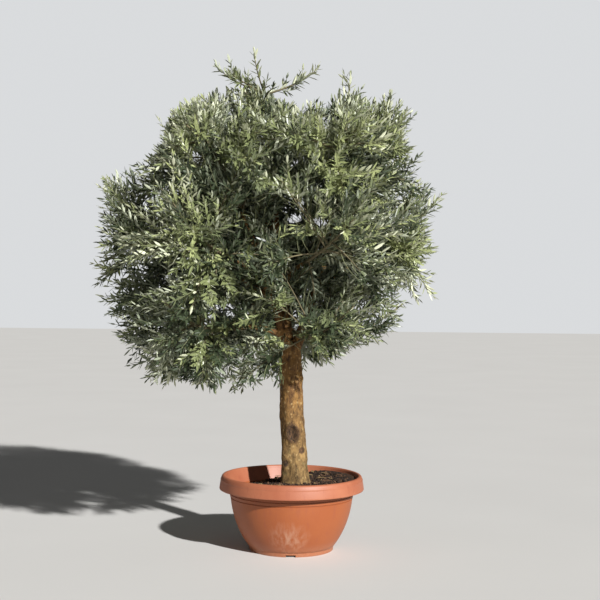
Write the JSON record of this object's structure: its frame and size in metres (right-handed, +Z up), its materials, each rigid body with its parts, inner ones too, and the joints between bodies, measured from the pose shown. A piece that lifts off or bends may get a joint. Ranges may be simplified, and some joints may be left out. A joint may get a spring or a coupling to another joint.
{
  "type": "potted olive tree",
  "caption": "Round-headed olive tree on a single leaning trunk, planted in a rimmed plastic bowl that stands on a foot ring.",
  "frame": {"origin": "centre of the pot's flat underside, on the surface it stands on", "axes": "+Z up along the tree, +X to the right and +Y away from the viewer, as the picture shows it"},
  "size_m": [1.3668, 1.1987, 1.8945],
  "materials": {
    "pot": "injection-moulded, sun-faded terracotta colour",
    "soil": "dry bark compost with straw",
    "bark": "rough fissured bark",
    "leaves": "leathery, silvery underneath"
  },
  "bodies": {
    "root": {"bough_high_1": "bark", "bough_high_2": "bark", "bough_high_3": "bark", "bough_high_4": "bark", "bough_high_5": "bark", "bough_low_1": "bark", "bough_low_2": "bark", "bough_low_3": "bark", "bough_low_4": "bark", "bough_low_5": "bark", "bough_mid_1": "bark", "bough_mid_2": "bark", "bough_mid_3": "bark", "bough_mid_4": "bark", "bough_mid_5": "bark", "bough_mid_6": "bark", "bough_top": "bark", "foliage_high_1": "leaves", "foliage_high_2": "leaves", "foliage_high_3": "leaves", "foliage_high_4": "leaves", "foliage_high_5": "leaves", "foliage_low_1": "leaves", "foliage_low_2": "leaves", "foliage_low_3": "leaves", "foliage_low_4": "leaves", "foliage_low_5": "leaves", "foliage_mid_1": "leaves", "foliage_mid_2": "leaves", "foliage_mid_3": "leaves", "foliage_mid_4": "leaves", "foliage_mid_5": "leaves", "foliage_mid_6": "leaves", "foliage_top": "leaves", "pot": "pot", "soil": "soil", "trunk": "bark"}
  },
  "joints": []
}
